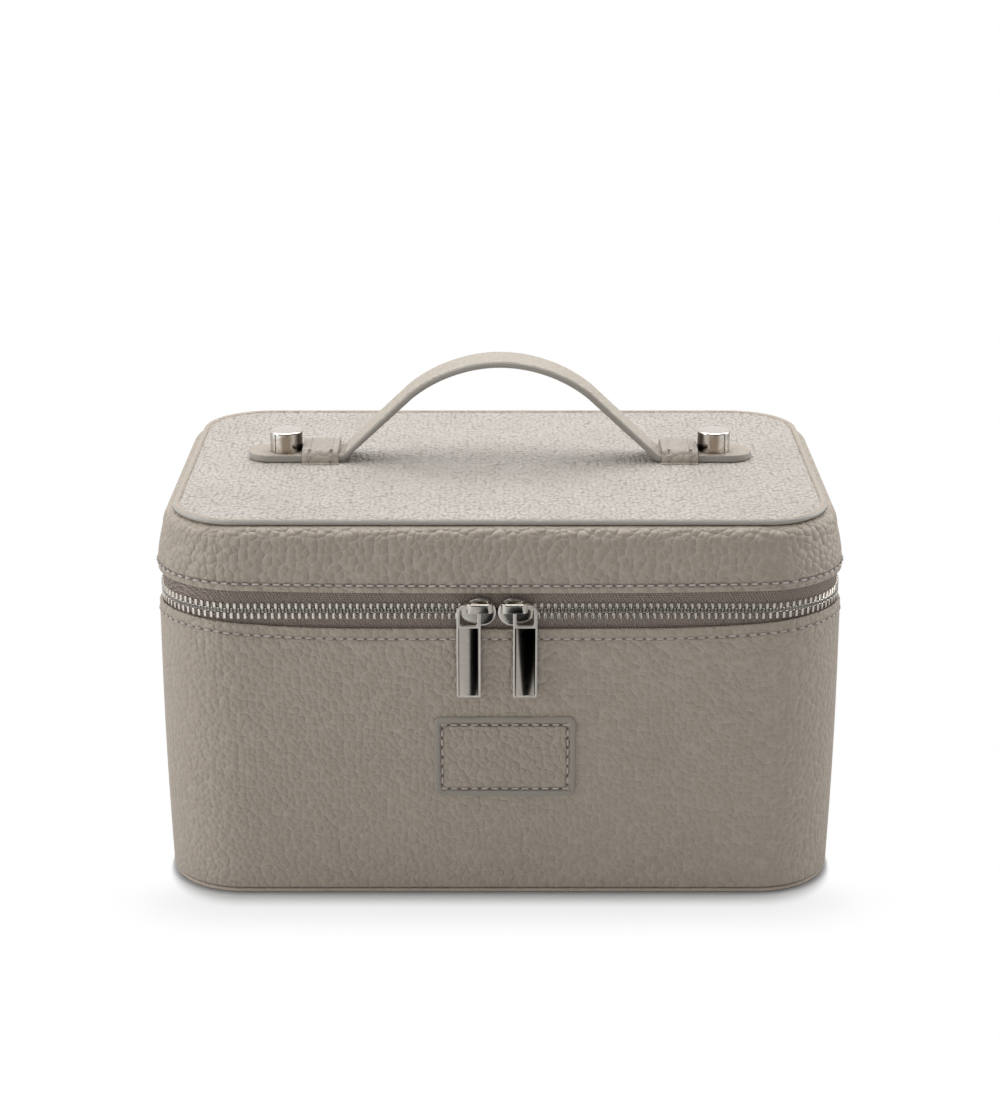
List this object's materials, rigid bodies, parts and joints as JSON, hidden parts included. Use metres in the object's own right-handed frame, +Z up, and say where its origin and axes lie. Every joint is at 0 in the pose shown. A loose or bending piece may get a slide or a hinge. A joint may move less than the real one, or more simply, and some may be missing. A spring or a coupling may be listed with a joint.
{
  "type": "vanity case",
  "caption": "Soft-sided leather vanity case with a zipped, hinged lid, bar zip pulls and an arched strap handle whose studded ends slide through keepers on the lid.",
  "frame": {"origin": "centre of the flat base, on the surface that the case stands on", "axes": "+X to the right seen from the front, -Y out of the front, +Z up"},
  "size_m": [0.278, 0.1862, 0.2017],
  "materials": {
    "taupe_leather": "pebbled, satin",
    "edge_leather": "smooth, satin",
    "stiff_board": "matte board",
    "lining_fabric": "matte woven",
    "padding_foam": "matte",
    "zip_tape": "matte twill",
    "zip_metal": "bright nickel",
    "polished_nickel": "polished nickel"
  },
  "bodies": {
    "case_body": {"case_wall_leather": "taupe_leather", "case_wall_board": "stiff_board", "case_lining": "lining_fabric", "base_panel": "taupe_leather", "base_board": "stiff_board", "case_turned_edge": "edge_leather", "lower_zip_tape": "zip_tape", "lower_zip_teeth": "zip_metal", "zip_end_stops": "zip_metal", "front_patch": "taupe_leather", "hinge_leather": "taupe_leather", "hinge_lining": "lining_fabric"},
    "lid": {"lid_band_leather": "taupe_leather", "lid_top_leather": "taupe_leather", "lid_piping": "edge_leather", "lid_turned_edge": "edge_leather", "lid_side_board": "stiff_board", "lid_top_board": "stiff_board", "lid_top_foam": "padding_foam", "lid_lining": "lining_fabric", "upper_zip_tape": "zip_tape", "upper_zip_teeth": "zip_metal", "left_keeper": "taupe_leather", "right_keeper": "taupe_leather", "handle_strap": "taupe_leather"},
    "left_slider_body": {"left_slider": "polished_nickel"},
    "right_slider_body": {"right_slider": "polished_nickel"},
    "left_pull_body": {"left_pull": "polished_nickel"},
    "right_pull_body": {"right_pull": "polished_nickel"},
    "left_handle_end": {"left_strap_end": "taupe_leather", "left_stud": "polished_nickel", "left_stud_screw": "polished_nickel"},
    "right_handle_end": {"right_strap_end": "taupe_leather", "right_stud": "polished_nickel", "right_stud_screw": "polished_nickel"}
  },
  "joints": [
    {"name": "lid_hinge", "type": "hinge", "parent": "case_body", "child": "lid", "pos_m": [0, 0.0905, 0.12245], "axis": [-1, 0, 0], "range_deg": [0, 110], "deforming": ["hinge_leather", "hinge_lining"]},
    {"name": "left_slider_run", "type": "slide", "parent": "case_body", "child": "left_slider_body", "axis": [-1, 0, 0], "range_m": [0, 0.085], "deforming": ["lower_zip_teeth", "upper_zip_teeth"]},
    {"name": "right_slider_run", "type": "slide", "parent": "case_body", "child": "right_slider_body", "axis": [1, 0, 0], "range_m": [0, 0.085], "deforming": ["lower_zip_teeth", "upper_zip_teeth"]},
    {"name": "left_pull_swing", "type": "hinge", "parent": "left_slider_body", "child": "left_pull_body", "pos_m": [-0.0124, -0.09265, 0.1224], "axis": [0, 1, 0], "range_deg": [-8, 100]},
    {"name": "right_pull_swing", "type": "hinge", "parent": "right_slider_body", "child": "right_pull_body", "pos_m": [0.01, -0.09265, 0.1224], "axis": [0, -1, 0], "range_deg": [-8, 100]},
    {"name": "left_handle_slide", "type": "slide", "parent": "lid", "child": "left_handle_end", "axis": [-1, 0, 0], "range_m": [0, 0.014], "deforming": ["handle_strap"]},
    {"name": "right_handle_slide", "type": "slide", "parent": "lid", "child": "right_handle_end", "axis": [1, 0, 0], "range_m": [0, 0.014], "deforming": ["handle_strap"]}
  ],
  "couplings": [
    {"joint": "right_handle_slide", "follows": "left_handle_slide", "ratio": 1}
  ]
}
